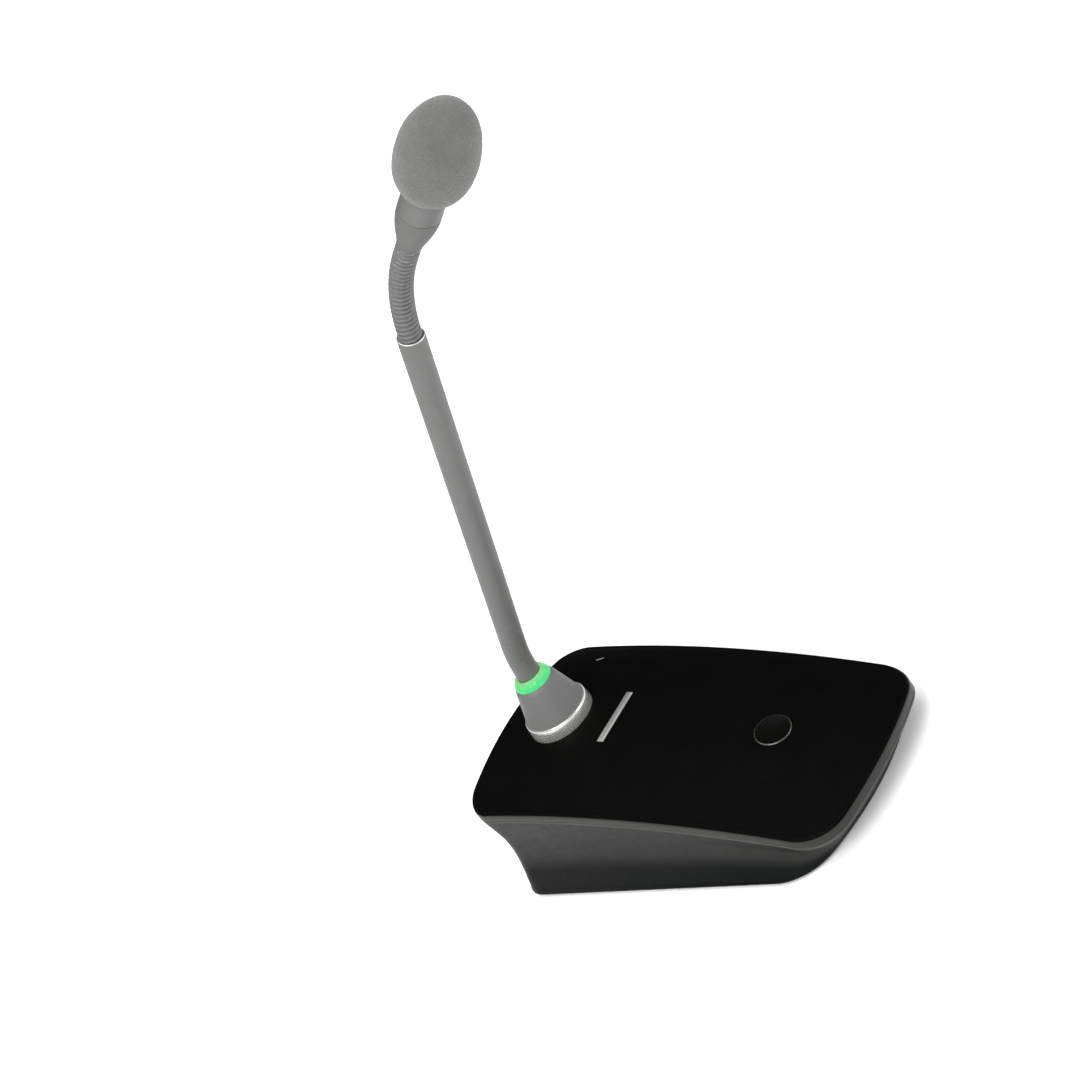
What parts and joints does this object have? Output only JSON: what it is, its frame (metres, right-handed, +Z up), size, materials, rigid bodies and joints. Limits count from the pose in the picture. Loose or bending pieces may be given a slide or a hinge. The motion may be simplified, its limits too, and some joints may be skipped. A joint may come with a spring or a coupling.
{
  "type": "desktop microphone stand",
  "caption": "Desktop gooseneck microphone: arched black wireless base, green-lit plug-in collar, tube with two flexible sections and a foam-covered head.",
  "frame": {"origin": "centre of the footprint, on the table surface inside the rubber rim", "axes": "+Z up, -Y towards the person speaking (the microphone leans that way), +X to that person's right; the part is symmetric about the YZ plane except the status light"},
  "size_m": [0.0744, 0.1618, 0.2217],
  "materials": {
    "black_plastic": "satin, near black",
    "gloss_black": "gloss black",
    "grey_paint": "satin warm grey paint",
    "flex_metal": "satin grey, ribbed",
    "grey_rubber": "soft matt grey",
    "foam": "open-cell grey foam",
    "chrome": "polished",
    "green_light": "frosted, lit green",
    "light_print": "pale printed inlay",
    "clear": "frosted light guide",
    "steel": "zinc plated",
    "tin": "tinned",
    "aluminium": "satin",
    "gold": "gold plated",
    "circuit_board": "solder-masked board",
    "battery_wrap": "shrink-wrapped cell",
    "ribbon": "flexible printed ribbon",
    "white_plastic": "plain",
    "cable": "matt cable jacket",
    "rubber": "soft matt"
  },
  "bodies": {
    "base": {"top_cover": "black_plastic", "lower_shell": "black_plastic", "base_plate": "black_plastic", "rubber_rim": "rubber", "case_screws": "steel", "steel_weight": "steel", "main_board": "circuit_board", "board_screws": "steel", "radio_shield": "tin", "antennas": "tin", "battery_pack": "battery_wrap", "battery_contacts": "gold", "door_pin": "steel", "charge_contacts": "gold", "power_switch_body": "black_plastic", "switch_body": "black_plastic", "switch_board": "circuit_board", "switch_ribbon": "ribbon", "status_light_pipe": "clear", "name_bar": "light_print", "socket_ring": "chrome", "neck_socket": "black_plastic", "socket_nut": "steel", "socket_contacts": "gold"},
    "mute_cap": {"mute_button": "gloss_black", "switch_plunger": "white_plastic"},
    "door": {"battery_door": "black_plastic"},
    "power_knob": {"power_switch_knob": "black_plastic"},
    "neck_base": {"collar_cone": "grey_paint", "plug_body": "black_plastic", "plug_pins": "gold", "light_board": "circuit_board", "light_ring": "green_light", "neck_foot": "grey_paint"},
    "tube": {"tube_socket_end": "grey_paint", "neck_tube": "grey_paint", "neck_cable": "cable", "tube_lip": "chrome", "tube_ball_end": "flex_metal"},
    "head": {"head_boot": "grey_rubber", "head_barrel": "grey_paint", "head_board": "circuit_board", "capsule": "aluminium", "capsule_grille": "grey_paint"},
    "foam": {"windscreen": "foam"},
    "lower_1": {"lower_link_1": "grey_paint"},
    "lower_2": {"lower_link_2": "grey_paint"},
    "lower_3": {"lower_link_3": "grey_paint"},
    "lower_4": {"lower_link_4": "grey_paint"},
    "lower_5": {"lower_link_5": "grey_paint"},
    "upper_1": {"upper_link_1": "flex_metal"},
    "upper_2": {"upper_link_2": "flex_metal"},
    "upper_3": {"upper_link_3": "flex_metal"},
    "upper_4": {"upper_link_4": "flex_metal"},
    "upper_5": {"upper_link_5": "flex_metal"},
    "upper_6": {"upper_link_6": "flex_metal"},
    "upper_7": {"upper_link_7": "flex_metal"},
    "upper_8": {"upper_link_8": "flex_metal"},
    "upper_9": {"upper_link_9": "flex_metal"}
  },
  "joints": [
    {"name": "lower_nod_1", "type": "hinge", "parent": "neck_base", "child": "lower_1", "pos_m": [0, 0.0332, 0.0587], "axis": [1, 0, 0], "range_deg": [-12, 12]},
    {"name": "lower_sway_1", "type": "hinge", "parent": "lower_1", "child": "lower_2", "pos_m": [0, 0.03202, 0.06252], "axis": [0, 0.9554, 0.2953], "range_deg": [-12, 12]},
    {"name": "lower_nod_2", "type": "hinge", "parent": "lower_2", "child": "lower_3", "pos_m": [0, 0.03045, 0.0662], "axis": [1, 0, 0], "range_deg": [-12, 12]},
    {"name": "lower_sway_2", "type": "hinge", "parent": "lower_3", "child": "lower_4", "pos_m": [0, 0.02852, 0.0697], "axis": [0, 0.8751, 0.484], "range_deg": [-12, 12]},
    {"name": "lower_nod_3", "type": "hinge", "parent": "lower_4", "child": "lower_5", "pos_m": [0, 0.02648, 0.07314], "axis": [1, 0, 0], "range_deg": [-12, 12]},
    {"name": "lower_sway_3", "type": "hinge", "parent": "lower_5", "child": "tube", "pos_m": [0, 0.02444, 0.07658], "axis": [0, 0.8607, 0.509], "range_deg": [-12, 12]},
    {"name": "upper_nod_1", "type": "hinge", "parent": "tube", "child": "upper_1", "pos_m": [0, -0.03267, 0.17316], "axis": [1, 0, 0], "range_deg": [-12, 12]},
    {"name": "upper_sway_1", "type": "hinge", "parent": "upper_1", "child": "upper_2", "pos_m": [0, -0.03423, 0.17563], "axis": [0, 0.8458, 0.5335], "range_deg": [-12, 12]},
    {"name": "upper_nod_2", "type": "hinge", "parent": "upper_2", "child": "upper_3", "pos_m": [0, -0.03593, 0.178], "axis": [1, 0, 0], "range_deg": [-12, 12]},
    {"name": "upper_sway_2", "type": "hinge", "parent": "upper_3", "child": "upper_4", "pos_m": [0, -0.03776, 0.18028], "axis": [0, 0.7791, 0.6269], "range_deg": [-12, 12]},
    {"name": "upper_nod_3", "type": "hinge", "parent": "upper_4", "child": "upper_5", "pos_m": [0, -0.03971, 0.18244], "axis": [1, 0, 0], "range_deg": [-12, 12]},
    {"name": "upper_sway_3", "type": "hinge", "parent": "upper_5", "child": "upper_6", "pos_m": [0, -0.04179, 0.18449], "axis": [0, 0.7022, 0.712], "range_deg": [-12, 12]},
    {"name": "upper_nod_4", "type": "hinge", "parent": "upper_6", "child": "upper_7", "pos_m": [0, -0.04399, 0.18642], "axis": [1, 0, 0], "range_deg": [-12, 12]},
    {"name": "upper_sway_4", "type": "hinge", "parent": "upper_7", "child": "upper_8", "pos_m": [0, -0.04629, 0.18822], "axis": [0, 0.616, 0.7878], "range_deg": [-12, 12]},
    {"name": "upper_nod_5", "type": "hinge", "parent": "upper_8", "child": "upper_9", "pos_m": [0, -0.04868, 0.18988], "axis": [1, 0, 0], "range_deg": [-12, 12]},
    {"name": "upper_sway_5", "type": "hinge", "parent": "upper_9", "child": "head", "pos_m": [0, -0.05118, 0.19141], "axis": [0, 0.5217, 0.8531], "range_deg": [-12, 12]},
    {"name": "mute_press", "type": "slide", "parent": "base", "child": "mute_cap", "axis": [0, 0.2864, -0.9581], "range_m": [0, 0.0008], "stiffness_N_per_m": 900},
    {"name": "neck_unplug", "type": "slide", "parent": "base", "child": "neck_base", "axis": [0, -0.1219, 0.9925], "range_m": [0, 0.02]},
    {"name": "battery_door_swing", "type": "hinge", "parent": "base", "child": "door", "pos_m": [0, -0.0226, 0.0016], "axis": [1, 0, 0], "range_deg": [-100, 0]},
    {"name": "power_slide", "type": "slide", "parent": "base", "child": "power_knob", "axis": [1, 0, 0], "range_m": [0, 0.002]},
    {"name": "windscreen_pull", "type": "slide", "parent": "head", "child": "foam", "axis": [0, -0.8678, 0.497], "range_m": [0, 0.02]}
  ],
  "couplings": [
    {"joint": "lower_nod_2", "follows": "lower_nod_1", "ratio": 1},
    {"joint": "lower_sway_2", "follows": "lower_sway_1", "ratio": 1},
    {"joint": "lower_nod_3", "follows": "lower_nod_1", "ratio": 1},
    {"joint": "lower_sway_3", "follows": "lower_sway_1", "ratio": 1},
    {"joint": "upper_nod_2", "follows": "upper_nod_1", "ratio": 1},
    {"joint": "upper_sway_2", "follows": "upper_sway_1", "ratio": 1},
    {"joint": "upper_nod_3", "follows": "upper_nod_1", "ratio": 1},
    {"joint": "upper_sway_3", "follows": "upper_sway_1", "ratio": 1},
    {"joint": "upper_nod_4", "follows": "upper_nod_1", "ratio": 1},
    {"joint": "upper_sway_4", "follows": "upper_sway_1", "ratio": 1},
    {"joint": "upper_nod_5", "follows": "upper_nod_1", "ratio": 1},
    {"joint": "upper_sway_5", "follows": "upper_sway_1", "ratio": 1}
  ]
}
